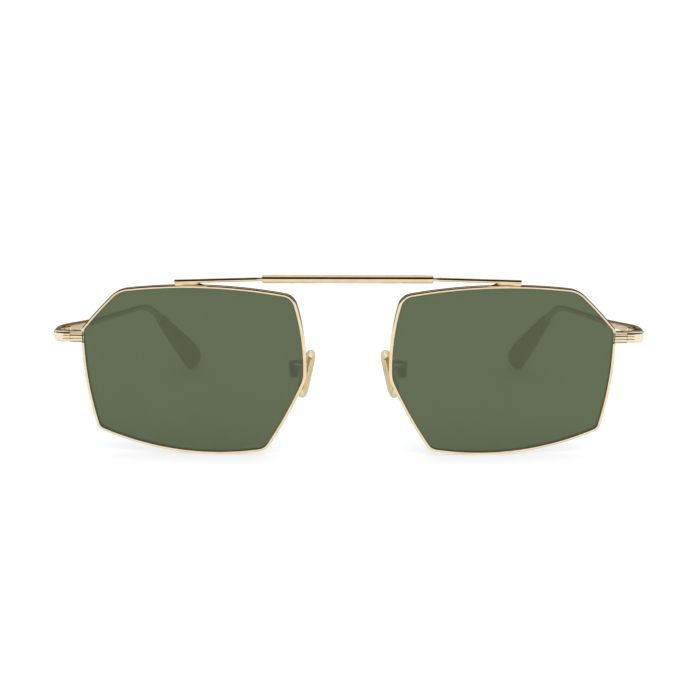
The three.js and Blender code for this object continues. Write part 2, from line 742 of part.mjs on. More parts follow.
// How far the nose side of the lens stands in from the box at a height, by its bow and corners.
function noseSideAt(height) {
  const points = lensOutline(0).filter((point) => point.x < lensWidth / 2);
  const nearest = points.reduce((best, point) =>
    (Math.abs(point.y - height) < Math.abs(best.y - height) ? point : best));
  return nearest.x;
}

// A round wire along any curve, built by extrusion.
function sweepFree(curve, steps, sides, radius) {
  const ring = Array.from({ length: sides }, (_, i) => {
    const angle = (2 * Math.PI * i) / sides;
    return new THREE.Vector2(radius * Math.cos(angle), radius * Math.sin(angle));
  });
  return new THREE.ExtrudeGeometry(new THREE.Shape(ring), { steps, extrudePath: curve });
}

// ---------------------------------------------------------------- assembly

const front = new THREE.Group();
const temples = new THREE.Group();
const glasses = new THREE.Group();
glasses.add(front, temples);

addMesh(front, 'brow_rod', browRodGeometry(), paleGold());
addMesh(front, 'brow_sleeve', browSleeveGeometry(), brightGold());

const padPlace = new THREE.Matrix4()
  .makeTranslation(bridgeWidth / 2 - padStandIn, padCentreY, noseCornerHeight - padDrop)
  .multiply(new THREE.Matrix4().makeRotationZ(-padSplay))
  .multiply(new THREE.Matrix4().makeRotationY(-padLean));

for (const [side, name] of [[1, 'left'], [-1, 'right']]) {
  const half = new THREE.Group();
  half.scale.x = side;
  front.add(half);

  const lensFrame = new THREE.Group();
  lensFrame.position.x = bridgeWidth / 2;
  lensFrame.rotation.z = wrapAngle;
  half.add(lensFrame);
  addMesh(lensFrame, `rim_${name}`, rimGeometry(), paleGold());
  addMesh(lensFrame, `lens_${name}`, lensGeometry(), greenLens());
  addMesh(lensFrame, `closing_block_upper_${name}`, upperBlockGeometry(), paleGold());
  addMesh(lensFrame, `closing_block_lower_${name}`, lowerBlockGeometry(), paleGold());
  const lockScrew = addMesh(lensFrame, `rim_lock_screw_${name}`,
    slottedScrew(lockScrewRadius, lockHeadRadius, lockHeadHeight - 2 * seatGap,
      endPieceHeight - lockHeadHeight - lockShankRise), paleGold());
  lockScrew.position.set(lockScrewX, lockScrewY, blockHigh - lockHeadHeight + seatGap);

  addMesh(half, `end_piece_${name}`, endPieceGeometry(), brightGold());
  addMesh(half, `hinge_front_${name}`,
    hingeHalfGeometry([knuckleLevels[0], knuckleLevels[2]], -1, frontLeafLength, 0), paleGold());
  const hingePin = addMesh(half, `hinge_screw_${name}`,
    slottedScrew(hingePinRadius, hingeHeadRadius, hingeHeadHeight - 2 * seatGap,
      3 * knuckleHeight - hingeHeadHeight), paleGold());
  hingePin.position.set(hingeX, hingeY, hingeTop - hingeHeadHeight + seatGap);

  const padFrame = new THREE.Group();
  padFrame.applyMatrix4(padPlace);
  half.add(padFrame);
  addMesh(padFrame, `pad_arm_${name}`, padArmGeometry(padPlace), paleGold());
  addMesh(padFrame, `nose_pad_${name}`, padGeometry(), clearPad());
  addMesh(padFrame, `pad_insert_${name}`, insertGeometry(), brightGold());
  addMesh(padFrame, `pad_screw_${name}`, padScrewGeometry(), paleGold());

  const temple = new THREE.Group();
  temple.scale.x = side;
  temples.add(temple);
  addMesh(temple, `temple_arm_${name}`, templeArmGeometry(), paleGold());
  addMesh(temple, `hinge_temple_${name}`,
    hingeHalfGeometry([knuckleLevels[1]], 1, templeLeafLength, templeSlope), paleGold());
  addMesh(temple, `temple_tip_${name}`, templeTipGeometry(), amberTip());
}

// ---------------------------------------------------------------- standing on the table

function lowest(group) {
  glasses.updateMatrixWorld(true);
  return new THREE.Box3().setFromObject(group, true).min.z;
}

// The tilt at which the rims and the tips stand on one level, found by halving.
let tiltLow = -0.2;
let tiltHigh = 0.3;
for (let i = 0; i < 40; i += 1) {
  const tilt = (tiltLow + tiltHigh) / 2;
  glasses.rotation.x = tilt;
  if (lowest(temples) > lowest(front)) {
    tiltHigh = tilt;
  } else {
    tiltLow = tilt;
  }
}
glasses.updateMatrixWorld(true);
const bounds = new THREE.Box3().setFromObject(glasses, true);
glasses.position.set(0, -(bounds.min.y + bounds.max.y) / 2, -bounds.min.z);

export default glasses;
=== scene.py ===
# Looks for the metal sunglasses. The shapes follow the dimensions of the CAD part, in
# millimetres in the frame of the glasses' front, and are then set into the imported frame.
import math
import json

import bmesh
import bpy
import numpy as np
from mathutils import Matrix, Vector

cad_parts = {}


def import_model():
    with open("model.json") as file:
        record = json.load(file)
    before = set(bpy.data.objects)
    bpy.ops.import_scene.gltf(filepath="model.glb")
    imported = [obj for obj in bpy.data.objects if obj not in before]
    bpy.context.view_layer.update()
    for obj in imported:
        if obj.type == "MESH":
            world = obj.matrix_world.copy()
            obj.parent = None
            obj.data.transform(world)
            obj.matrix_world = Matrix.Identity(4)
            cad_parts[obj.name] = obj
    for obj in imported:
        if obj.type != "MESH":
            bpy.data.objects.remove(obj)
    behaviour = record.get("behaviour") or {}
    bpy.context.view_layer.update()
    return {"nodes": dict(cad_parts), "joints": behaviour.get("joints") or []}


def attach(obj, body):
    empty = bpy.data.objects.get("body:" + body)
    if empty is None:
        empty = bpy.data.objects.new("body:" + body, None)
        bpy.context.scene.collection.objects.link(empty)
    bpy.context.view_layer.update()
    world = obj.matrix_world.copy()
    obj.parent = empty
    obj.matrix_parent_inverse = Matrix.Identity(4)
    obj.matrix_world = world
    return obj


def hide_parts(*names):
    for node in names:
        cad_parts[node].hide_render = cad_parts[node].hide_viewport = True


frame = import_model()
NODES = frame["nodes"]

# ---------------------------------------------------------------- dimensions, in millimetres

LENS_WIDTH = 54.25
LENS_HEIGHT = 40.75
BRIDGE = 21.8
WRAP = math.radians(6)
# Lens corners: x, y, radius, bow of the side that follows.
CORNERS = [
    (0.0, 18.8, 6.0, 0.44),
    (9.65, 1.3, 3.0, 3.08),
    (LENS_WIDTH - 3.45, 5.65, 2.0, 0.92),
    (LENS_WIDTH, LENS_HEIGHT - 11.0, 2.0, 0.2),
    (LENS_WIDTH - 9.1, LENS_HEIGHT - 1.3, 6.0, 1.65),
    (2.7, LENS_HEIGHT - 2.0, 3.0, 0.95),
]
RIM_WIDTH = 0.72
RIM_DEPTH = 1.9
HINGE_Z = LENS_HEIGHT - 12.7
PIECE_HEIGHT = 2.7
BLOCK_END = LENS_WIDTH + RIM_WIDTH + 2.7
BLOCK_OVERLAP = 0.4
BLOCK_EDGE = 0.06
BLOCK_CORNER = 0.07
BLOCK_FRONT = -0.15
BLOCK_BACK = 2.65
BLOCK_SPLIT = HINGE_Z + 0.45
BLOCK_LOW = HINGE_Z - PIECE_HEIGHT / 2
BLOCK_HIGH = HINGE_Z + PIECE_HEIGHT / 2
LOCK_X = BLOCK_END - 0.95
LOCK_Y = 1.45
# The sink for the lock screw's head: radius, and height over the block's top.
SINK = ((0.85, -0.35), (0.85, -0.04), (0.95, 0.06))
FLUTES = (1.13, 0.45, -0.25, -0.98)
FLUTE_RADIUS = 0.24
FLUTE_SINK = 0.08
FLUTE_RUN = 1.7
FLUTE_FADE_IN = 0.5
FLUTE_FADE_OUT = 0.35
FLUTE_FACE = 0.4
ELBOW_REACH = 3.0
ELBOW_EDGE = 0.55
ELBOW_INNER = 0.5
STRAP = 1.3
STRAP_OUTSIDE = 3.85
STRAP_BEHIND = 4.34
KNUCKLE_RADIUS = 1.1
GAP = 0.05
BAR_RADIUS = 1.0
BAR_HALF = 41.3 / 2
BAR_Y = 1.0
RIM_TOP = LENS_HEIGHT + RIM_WIDTH
BAR_Z = RIM_TOP + 1.83
SLEEVE_BORE = 0.53
SLEEVE_MOUTH = 0.62
SLEEVE_ROUND = 0.38
ROD_RADIUS = 0.48
ROD_END = 0.2
ROD_END_SHARE = 0.62
ROD_TWIST = math.radians(30)
ARM_SHARE = 0.573
ARM_LIFT = 0.4
FOOT_LENGTH = 7.9
FOOT_HALF_WIDTH = 0.34
FOOT_GAP = 0.03
# The foot's section: share of its half width, and share of its half height.
FOOT_SECTION = (
    (-0.8, 1), (0.8, 1), (0.95, 0.4), (1.15, -0.6), (1.3, -1),
    (-1.3, -1), (-1.15, -0.6), (-0.95, 0.4),
)
PAD_HEIGHT = 12.2
PAD_WIDTH = 6.8
PAD_THICK = 1.8
PAD_FRONT_EDGE = 0.7
PAD_BACK_EDGE = 0.8
PAD_ARM_HEIGHT = CORNERS[0][1] + 3.4
PAD_ARM_RADIUS = 0.5
BOX_HALF_IN = 0.6
BOX_HALF_OUT = 1.15
BOX_NEAR = 1.25
BOX_WEB = 3.4
BOX_FAR = 3.95
BOX_HEIGHT = 2.8
BOX_EDGE = 0.06


def to_front(x, y):
    """A place of the lens seen from above, in the frame of the front."""
    c, s = math.cos(WRAP), math.sin(WRAP)
    return x * c - y * s + BRIDGE / 2, x * s + y * c


TEMPLE_X = to_front(BLOCK_END, 0)[0] + STRAP_OUTSIDE
BUTT_Y = to_front(BLOCK_END, BLOCK_BACK)[1] + STRAP_BEHIND
STRAP_OUT = TEMPLE_X + STRAP / 2
STRAP_IN = TEMPLE_X - STRAP / 2
HINGE_X = STRAP_IN - GAP - KNUCKLE_RADIUS

# The front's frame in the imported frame, from the left temple's joint.
FOLD = next(j for j in frame["joints"] if j["name"] == "temple_fold_left")
TILT = math.atan2(-FOLD["axis"][1], FOLD["axis"][2])
SEAT = Matrix.Rotation(TILT, 4, "X")
PIN = Vector((HINGE_X, BUTT_Y, HINGE_Z)) * 0.001
SEAT = Matrix.Translation(Vector(FOLD["pos_m"]) - SEAT @ PIN) @ SEAT

# ---------------------------------------------------------------- mesh tools


def build(name, rings, closed=False, caps=True, islands=None):
    """A mesh from rings of points, in the front's frame. Extra islands join it."""
    bm = bmesh.new()
    for ring_set, loop, cap in [(rings, closed, caps)] + list(islands or []):
        grid = [[bm.verts.new(p) for p in ring] for ring in ring_set]
        count = len(grid[0])
        last = len(grid) if loop else len(grid) - 1
        for i in range(last):
            a, b = grid[i], grid[(i + 1) % len(grid)]
            for k in range(count):
                bm.faces.new((a[k], a[(k + 1) % count], b[(k + 1) % count], b[k]))
        if cap and not loop:
            bm.faces.new(grid[0])
            bm.faces.new(grid[-1])
    bmesh.ops.recalc_face_normals(bm, faces=bm.faces)
    mesh = bpy.data.meshes.new(name)
    bm.to_mesh(mesh)
    bm.free()
    obj = bpy.data.objects.new(name, mesh)
    bpy.context.scene.collection.objects.link(obj)
    return obj


def settle(obj, side, body, slot, nodes, sharp=32.0, look=None):
    """Mirrors a piece for its side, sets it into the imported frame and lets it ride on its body."""
    mesh = obj.data
    co = np.zeros(len(mesh.vertices) * 3)
    mesh.vertices.foreach_get("co", co)
    co = co.reshape(-1, 3)
    co[:, 0] *= side
    turn = np.array(SEAT)
    co = (co * 0.001) @ turn[:3, :3].T + turn[:3, 3]
    mesh.vertices.foreach_set("co", co.ravel())
    if side < 0:
        mesh.flip_normals()
    mesh.update()
    mesh.shade_smooth()
    mesh.set_sharp_from_angle(angle=math.radians(sharp))
    obj.data.materials.clear()
    obj.data.materials.append(MATERIALS[look or slot])
    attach(obj, body)
    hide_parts(*nodes)
    return obj


def applied(obj, cutters=()):
    """The piece with its modifiers applied and its cutters taken away."""
    bpy.context.view_layer.update()
    graph = bpy.context.evaluated_depsgraph_get()
    mesh = bpy.data.meshes.new_from_object(obj.evaluated_get(graph))
    obj.modifiers.clear()
    obj.data = mesh
    mesh.name = obj.name
    for cutter in cutters:
        bpy.data.objects.remove(cutter)
    return obj


def smoothstep(value, low, high):
    t = min(max((value - low) / (high - low), 0.0), 1.0)
    return t * t * (3 - 2 * t)


# ---------------------------------------------------------------- lens outline


def side_circle(a, b):
    p, q = np.array(a[:2]), np.array(b[:2])
    chord = q - p
    length = np.linalg.norm(chord)
    radius = length**2 / (8 * a[3]) + a[3] / 2
    inward = np.array([-chord[1], chord[0]]) / length
    return (p + q) / 2 + inward * (radius - a[3]), radius


def round_centre(corner, before, after):
    r0, r1 = before[1] - corner[2], after[1] - corner[2]
    between = after[0] - before[0]
    distance = np.linalg.norm(between)
    along = (distance**2 + r0**2 - r1**2) / (2 * distance)
    across = math.sqrt(r0**2 - along**2)
    unit = between / distance
    normal = np.array([-unit[1], unit[0]])
    options = [before[0] + unit * along + normal * across * k for k in (1, -1)]
    return min(options, key=lambda c: np.linalg.norm(c - np.array(corner[:2])))


ARC_STEP = 0.8


def outline_arcs():
    """The arcs of the lens outline: centre, radius, start angle, turn, point count."""
    n = len(CORNERS)
    sides = [side_circle(CORNERS[i], CORNERS[(i + 1) % n]) for i in range(n)]
    rounds = [round_centre(CORNERS[i], sides[i - 1], sides[i]) for i in range(n)]
    arcs = []

    def angle(side, centre):
        return math.atan2(centre[1] - side[0][1], centre[0] - side[0][0])

    for i in range(n):
        before = angle(sides[i - 1], rounds[i])
        after = angle(sides[i], rounds[i])
        nxt = angle(sides[i], rounds[(i + 1) % n])
        for centre, radius, start, end, least in (
            (rounds[i], CORNERS[i][2], before, after, 10),
            (sides[i][0], sides[i][1], after, nxt, 8),
        ):
            turn = (end - start + math.pi) % (2 * math.pi) - math.pi
            steps = max(least, int(abs(turn) * radius / ARC_STEP))
            arcs.append((centre, radius, start, turn, steps))
    return arcs


ARCS = outline_arcs()


def outline(offset=0.0):
    points = []
    for centre, radius, start, turn, steps in ARCS:
        for k in range(steps):
            a = start + turn * k / steps
            points.append(centre + (radius + offset) * np.array([math.cos(a), math.sin(a)]))
    return np.array(points)


def in_front(points2d, depths):
    """Lens points (x, z) with depths, turned with the wrap into the front's frame."""
    c, s = math.cos(WRAP), math.sin(WRAP)
    x, z = points2d[:, 0], points2d[:, 1]
    return np.stack([x * c - depths * s + BRIDGE / 2, x * s + depths * c, z], 1)


def outline_x(z, offset):
    """Where the temple side of the moved outline stands at a height."""
    ring = outline(offset)
    ring = ring[ring[:, 0] > LENS_WIDTH / 2]
    order = np.argsort(ring[:, 1])
    return float(np.interp(z, ring[order, 1], ring[order, 0]))


# ---------------------------------------------------------------- materials


def material(name):
    mat = bpy.data.materials.new(name)
    mat.use_nodes = True
    tree = mat.node_tree
    tree.nodes.clear()
    out = tree.nodes.new("ShaderNodeOutputMaterial")
    return mat, tree, out


def link(tree, source, target):
    tree.links.new(source, target)


def in_mm(tree, stretch=(1, 1, 1)):
    """Object coordinates in millimetres, stretched."""
    place = tree.nodes.new("ShaderNodeTexCoord")
    scale = tree.nodes.new("ShaderNodeMapping")
    scale.inputs["Scale"].default_value = [1000 * s for s in stretch]
    link(tree, place.outputs["Object"], scale.inputs["Vector"])
    return scale.outputs["Vector"]


def noise(tree, vector, scale, detail=3.0, rough=0.55):
    node = tree.nodes.new("ShaderNodeTexNoise")
    node.inputs["Scale"].default_value = scale
    node.inputs["Detail"].default_value = detail
    node.inputs["Roughness"].default_value = rough
    link(tree, vector, node.inputs["Vector"])
    return node.outputs["Fac"]


def ramp(tree, fac, stops):
    node = tree.nodes.new("ShaderNodeValToRGB")
    band = node.color_ramp
    while len(band.elements) < len(stops):
        band.elements.new(0.5)
    for element, (place, color) in zip(band.elements, stops):
        element.position = place
        element.color = (*color, 1.0) if len(color) == 3 else color
    link(tree, fac, node.inputs["Fac"])
    return node.outputs["Color"]


def spread(tree, value, low, high, start=0.3, end=0.7):
    node = tree.nodes.new("ShaderNodeMapRange")
    node.inputs["From Min"].default_value = start
    node.inputs["From Max"].default_value = end
    node.inputs["To Min"].default_value = low
    node.inputs["To Max"].default_value = high
    link(tree, value, node.inputs["Value"])
    return node.outputs["Result"]


def bump(tree, height, strength, distance):
    node = tree.nodes.new("ShaderNodeBump")
    node.inputs["Strength"].default_value = strength
    node.inputs["Distance"].default_value = distance
    link(tree, height, node.inputs["Height"])
    return node.outputs["Normal"]


def gold(name, light, deep, smooth, rough):
    """Plated metal: a slight change of tone, fine polishing marks and softer patches."""
    mat, tree, out = material(name)
    shader = tree.nodes.new("ShaderNodeBsdfPrincipled")
    shader.inputs["Metallic"].default_value = 1.0
    broad = noise(tree, in_mm(tree), scale=0.35, detail=4.0)
    marks = noise(tree, in_mm(tree, stretch=(0.6, 0.6, 5.0)), scale=2.2, detail=5.0, rough=0.65)
    grain = noise(tree, in_mm(tree), scale=9.0, detail=2.0)
    link(tree, ramp(tree, broad, [(0.3, deep), (0.62, light)]), shader.inputs["Base Color"])
    link(tree, spread(tree, marks, smooth, rough), shader.inputs["Roughness"])
    link(tree, bump(tree, grain, strength=0.05, distance=0.00002), shader.inputs["Normal"])
    link(tree, shader.outputs[0], out.inputs["Surface"])
    return mat


def lens_material(name):
    """Grey-green tinted lens: part of the light passes, and the body itself is dark green."""
    mat, tree, out = material(name)
    shader = tree.nodes.new("ShaderNodeBsdfPrincipled")
    clear = tree.nodes.new("ShaderNodeBsdfTransparent")
    mix = tree.nodes.new("ShaderNodeMixShader")
    shader.inputs["IOR"].default_value = 1.5
    haze = noise(tree, in_mm(tree), 0.05, 3.0)
    film = noise(tree, in_mm(tree), 0.6, 4.0)
    tone = ramp(tree, haze, [(0.3, LENS_BODY_A), (0.7, LENS_BODY_B)])
    link(tree, tone, shader.inputs["Base Color"])
    link(tree, spread(tree, film, low=0.08, high=0.14), shader.inputs["Roughness"])
    clear.inputs["Color"].default_value = LENS_TINT
    mix.inputs["Fac"].default_value = LENS_BODY
    link(tree, clear.outputs[0], mix.inputs[1])
    link(tree, shader.outputs[0], mix.inputs[2])
    link(tree, mix.outputs[0], out.inputs["Surface"])
    return mat


def acetate(name):
    """Polished honey acetate with cloudy darker streaks."""
    mat, tree, out = material(name)
    shader = tree.nodes.new("ShaderNodeBsdfPrincipled")
    clouds = noise(tree, in_mm(tree, (1.0, 0.35, 0.6)), 0.55, 4.0, 0.5)
    fine = noise(tree, in_mm(tree), 3.0, 4.0)
    tone = ramp(tree, clouds, [
        (0.34, (0.12, 0.046, 0.012)),
        (0.47, (0.26, 0.118, 0.031)),
        (0.6, (0.43, 0.23, 0.066)),
        (0.75, (0.52, 0.32, 0.11)),
    ])
    link(tree, tone, shader.inputs["Base Color"])
    link(tree, spread(tree, fine, 0.14, 0.24), shader.inputs["Roughness"])
    shader.inputs["IOR"].default_value = 1.49
    shader.inputs["Subsurface Weight"].default_value = 0.25
    shader.inputs["Subsurface Radius"].default_value = (0.002, 0.0009, 0.0003)
    shader.inputs["Subsurface Scale"].default_value = 0.6
    shader.inputs["Coat Weight"].default_value = 0.6
    shader.inputs["Coat Roughness"].default_value = 0.08
    link(tree, bump(tree, fine, 0.04, 0.00003), shader.inputs["Normal"])
    link(tree, shader.outputs[0], out.inputs["Surface"])
    return mat


def silicone(name):
    """Clear, slightly yellow silicone: clear in the middle, with more tone at its edges."""
    mat, tree, out = material(name)
    shader = tree.nodes.new("ShaderNodeBsdfPrincipled")
    clear = tree.nodes.new("ShaderNodeBsdfTransparent")
    mix = tree.nodes.new("ShaderNodeMixShader")
    facing = tree.nodes.new("ShaderNodeLayerWeight")
    facing.inputs["Blend"].default_value = 0.45
    cloud = noise(tree, in_mm(tree), 0.5, 3.0)
    fine = noise(tree, in_mm(tree), 4.0, 3.0)
    link(tree, ramp(tree, cloud, [(0.3, PAD_DEEP), (0.7, PAD_LIGHT)]), shader.inputs["Base Color"])
    link(tree, spread(tree, fine, 0.06, 0.16), shader.inputs["Roughness"])
    shader.inputs["IOR"].default_value = 1.41
    link(tree, bump(tree, fine, 0.04, 0.00003), shader.inputs["Normal"])
    solid = spread(tree, facing.outputs["Facing"], low=0.16, high=0.85, start=0.15, end=0.95)
    link(tree, solid, mix.inputs["Fac"])
    clear.inputs["Color"].default_value = PAD_CLEAR
    link(tree, clear.outputs[0], mix.inputs[1])
    link(tree, shader.outputs[0], mix.inputs[2])
    link(tree, mix.outputs[0], out.inputs["Surface"])
    return mat


LENS_BODY_A = (0.101, 0.136, 0.074)
LENS_BODY_B = (0.107, 0.142, 0.078)
LENS_TINT = (0.42, 0.436, 0.316, 1.0)
LENS_BODY = 0.5
PAD_DEEP = (0.62, 0.52, 0.22)
PAD_LIGHT = (0.80, 0.72, 0.40)
PAD_CLEAR = (0.97, 0.95, 0.82, 1.0)

MATERIALS = {
    # Each plating: lighter tone, deeper tone, smoothest and roughest roughness.
    "pale_gold": gold(
        "pale_gold_plating", (0.93, 0.77, 0.52), (0.86, 0.68, 0.43), 0.08, 0.18),
    # The temple wire's plating is a darker copy of the gold: painted shade for the wire lying behind
    # the lens, on top of its satin roughness.
    "temple_gold_painted_shade": gold(
        "satin_gold_painted_shade", (0.72, 0.56, 0.34), (0.62, 0.47, 0.27), 0.26, 0.40),
    # The elbow's plating is a lighter copy of the gold: painted light that keeps the end pieces and
    # closing blocks pale.
    "elbow_gold_painted_light": gold(
        "soft_gold_painted_light", (0.97, 0.84, 0.62), (0.94, 0.79, 0.56), 0.18, 0.28),
    "polished_gold": gold(
        "bright_gold_plating", (0.90, 0.70, 0.45), (0.86, 0.65, 0.40), 0.05, 0.12),
    "tinted_lens": lens_material("grey_green_lens"),
    "tip_acetate": acetate("honey_acetate"),
    "pad_silicone": silicone("clear_silicone"),
}

# ---------------------------------------------------------------- rims and lenses

# The wire's section: distance outwards from the lens edge, and depth behind its face.
RIM_SECTION = [
    (0.0, 0.17), (0.02, 0.08), (0.07, 0.02), (0.15, 0.0), (0.38, 0.0), (0.44, 0.01),
    (0.56, 0.07), (0.69, 0.14), (0.715, 0.18), (0.72, 0.3), (0.72, 0.95), (0.72, 1.5),
    (0.705, 1.64), (0.66, 1.75), (0.58, 1.83), (0.47, 1.88), (0.34, 1.9), (0.18, 1.9),
    (0.08, 1.87), (0.02, 1.81), (0.0, 1.73),
    (0.0, 1.42), (0.38, 1.0), (0.38, 0.9), (0.0, 0.48),
]
LENS_SECTION = [
    (-0.2, 0.06), (-0.12, 0.08), (-0.06, 0.14), (-0.04, 0.22), (-0.04, 0.52), (0.33, 0.91),
    (0.33, 0.99), (-0.04, 1.38), (-0.04, 1.68), (-0.06, 1.76), (-0.12, 1.82), (-0.2, 1.84),
]


def swept_outline(section):
    """A section (outwards, depth) carried round the lens outline: one ring per outline point."""
    return np.stack([in_front(outline(r), np.full(len(outline(r)), y)) for r, y in section], 1)


def rim(side, name):
    """The wire round a lens, cut where the closing blocks stand."""
    ring = outline(RIM_WIDTH / 2)
    between = (ring[:, 1] > BLOCK_LOW - GAP) & (ring[:, 1] < BLOCK_HIGH + GAP)
    cut = (ring[:, 0] > LENS_WIDTH - 2) & between
    first = int(np.argmax(cut))
    last = len(cut) - 1 - int(np.argmax(cut[::-1]))
    order = [i % len(ring) for i in range(last + 1, len(ring) + first)]
    rings = swept_outline(RIM_SECTION)
    kept = rings[order]

    def at_height(a, b, z):
        t = (z - a[:, 2].mean()) / (b[:, 2].mean() - a[:, 2].mean())
        return a + (b - a) * t

    top = at_height(rings[last], rings[(last + 1) % len(ring)], BLOCK_HIGH + GAP)
    low = at_height(rings[first - 1], rings[first], BLOCK_LOW - GAP)
    kept = np.concatenate([top[None], kept, low[None]])
    obj = build(f"rim_wire_{name}", kept)
    return settle(obj, side, "front", "pale_gold", [f"rim_{name}"], 40)


def lens(side, name):
    rings = swept_outline(LENS_SECTION).transpose(1, 0, 2)
    obj = build(f"tinted_lens_{name}", rings)
    return settle(obj, side, "front", "tinted_lens", [f"lens_{name}"], 20)


# ---------------------------------------------------------------- closing blocks and end piece


LEVEL_STEP = 0.035


def flute_depth(z):
    """How deep the flutes press in the front at a height."""
    deep = 0.0
    for rise in FLUTES:
        d = z - HINGE_Z - rise
        if abs(d) < FLUTE_RADIUS:
            deep = max(deep, math.sqrt(FLUTE_RADIUS**2 - d * d) - FLUTE_SINK)
    return deep


def levels(low, high, edge):
    """Heights with a rounded edge at both ends: (height, inset)."""
    quarter = np.linspace(0, math.pi / 2, 5)
    rounds = [(edge * (1 - math.cos(a)), edge * (1 - math.sin(a))) for a in quarter]
    bottom = [(low + up, inset) for up, inset in rounds]
    middle = [(z, 0.0) for z in np.arange(low + edge, high - edge, LEVEL_STEP)[1:]]
    top = [(high - up, inset) for up, inset in reversed(rounds)]
    return bottom + middle + top


def rounded_box(x0, x1, y0, y1, inset, radius, deep):
    """A rectangle seen from above with round corners; its front is pressed in by deep."""
    x0, x1, y0, y1 = x0 + inset, x1 - inset, y0 + inset, y1 - inset
    points = []
    for cx, cy, start in ((x1 - radius, y0 + radius, -90), (x1 - radius, y1 - radius, 0),
                          (x0 + radius, y1 - radius, 90), (x0 + radius, y0 + radius, 180)):
        for a in np.radians(np.linspace(start, start + 90, 4)):
            points.append([cx + radius * math.cos(a), cy + radius * math.sin(a)])
    points = np.array(points)
    points[:, 1] += deep * (points[:, 1] < y0 + radius * 1.2)
    return points


def block_piece(side, name, which, low, high):
    """One half of the pair that closes the rim. The upper one has a sink for the lock screw."""
    rings = []
    for z, inset in levels(low, high, BLOCK_EDGE):
        start = outline_x(z, BLOCK_OVERLAP)
        plan = rounded_box(
            start, BLOCK_END, BLOCK_FRONT, BLOCK_BACK, inset, BLOCK_CORNER, flute_depth(z))
        xy = np.array([to_front(x, y) for x, y in plan])
        rings.append(np.column_stack([xy, np.full(len(xy), z)]))
    obj = build(f"fluted_block_{which}_{name}", np.array(rings))
    if which == "upper":
        angles = np.linspace(0, 2 * math.pi, 33)[:-1]
        x, y = to_front(LOCK_X, LOCK_Y)
        circle = np.column_stack([np.cos(angles), np.sin(angles)])
        sink = [np.column_stack([circle * r + (x, y), np.full(32, BLOCK_HIGH + rise)])
                for r, rise in SINK]
        cutter = build("sink_tool", np.array(sink))
        cut = obj.modifiers.new("sink", "BOOLEAN")
        cut.object = cutter
        cut.operation = "DIFFERENCE"
        cut.solver = "EXACT"
        applied(obj, [cutter])
    nodes = [f"closing_block_{which}_{name}"]
    # The blocks wear the lighter copy of the gold plating: painted light.
    return settle(obj, side, "front", "pale_gold", nodes, 30, "elbow_gold_painted_light")


def end_piece_plan():
    """The end piece seen from above: front, elbow, side, butt, inner side and inner corner."""
    slope = math.tan(WRAP)
    fx, fy = to_front(BLOCK_END + GAP, BLOCK_FRONT)
    bx, by = to_front(BLOCK_END + GAP, BLOCK_BACK)
    corner = np.array([STRAP_OUT, fy + (STRAP_OUT - fx) * slope])
    inner = np.array([STRAP_IN, by + (STRAP_IN - bx) * slope])
    start = corner - np.array([ELBOW_REACH, ELBOW_REACH * slope])
    finish = corner + np.array([0, ELBOW_REACH])
    points = [np.array([fx, fy]) * (1 - t) + start * t for t in np.linspace(0, 1, 22)]
    for t in np.linspace(0, 1, 16)[1:]:
        points.append((1 - t) ** 2 * start + 2 * t * (1 - t) * corner + t * t * finish)
    butt = BUTT_Y - GAP
    points += [np.array([STRAP_OUT, y]) for y in np.linspace(finish[1], butt, 8)[1:]]
    points += [np.array([x, butt]) for x in np.linspace(STRAP_OUT, STRAP_IN, 4)[1:]]
    points += [np.array([STRAP_IN, y]) for y in np.linspace(butt, inner[1] + ELBOW_INNER, 8)[1:]]
    a = inner + np.array([0, ELBOW_INNER])
    b = inner - np.array([ELBOW_INNER, ELBOW_INNER * slope])
    for t in np.linspace(0, 1, 6)[1:]:
        points.append((1 - t) ** 2 * a + 2 * t * (1 - t) * inner + t * t * b)
    back = points[-1]
    rear, fore = np.array([bx, by]), np.array([fx, fy])
    points += [back * (1 - t) + rear * t for t in np.linspace(0, 1, 6)[1:]]
    points += [rear * (1 - t) + fore * t for t in np.linspace(0, 1, 6)[1:-1]]
    return np.array(points)


def inset_plan(points, distance):
    """A closed plan moved inwards by a distance along its corner normals."""
    ahead = np.roll(points, -1, 0) - points
    ahead /= np.linalg.norm(ahead, axis=1)[:, None]
    behind = np.roll(ahead, 1, 0)
    normal = np.stack([-(ahead + behind)[:, 1], (ahead + behind)[:, 0]], 1)
    normal /= np.linalg.norm(normal, axis=1)[:, None]
    half = np.clip((normal * np.stack([-ahead[:, 1], ahead[:, 0]], 1)).sum(1), 0.5, 1)
    return points + normal * (distance / half)[:, None]


def end_piece(side, name):
    """The fluted piece between the blocks and the hinge, with its elbow."""
    plan = end_piece_plan()
    c, s = math.cos(WRAP), math.sin(WRAP)
    run = (plan[:, 0] - BRIDGE / 2) * c + plan[:, 1] * s - BLOCK_END
    face = -(plan[:, 0] - BRIDGE / 2) * s + plan[:, 1] * c < BLOCK_FRONT + FLUTE_FACE
    fade = (FLUTE_RUN - FLUTE_FADE_IN, FLUTE_RUN + FLUTE_FADE_OUT)
    share = np.array([1 - smoothstep(r, *fade) for r in run]) * face
    rings = []
    for z, inset in levels(BLOCK_LOW, BLOCK_HIGH, ELBOW_EDGE):
        ring = inset_plan(plan, inset)
        press = share * flute_depth(z)
        ring = ring + np.stack([-s * press, c * press], 1)
        rings.append(np.column_stack([ring, np.full(len(ring), z)]))
    obj = build(f"elbow_{name}", np.array(rings))
    nodes = [f"end_piece_{name}"]
    # The end piece wears the lighter copy of the gold plating: painted light.
    return settle(obj, side, "front", "polished_gold", nodes, 34, "elbow_gold_painted_light")


# ---------------------------------------------------------------- curves


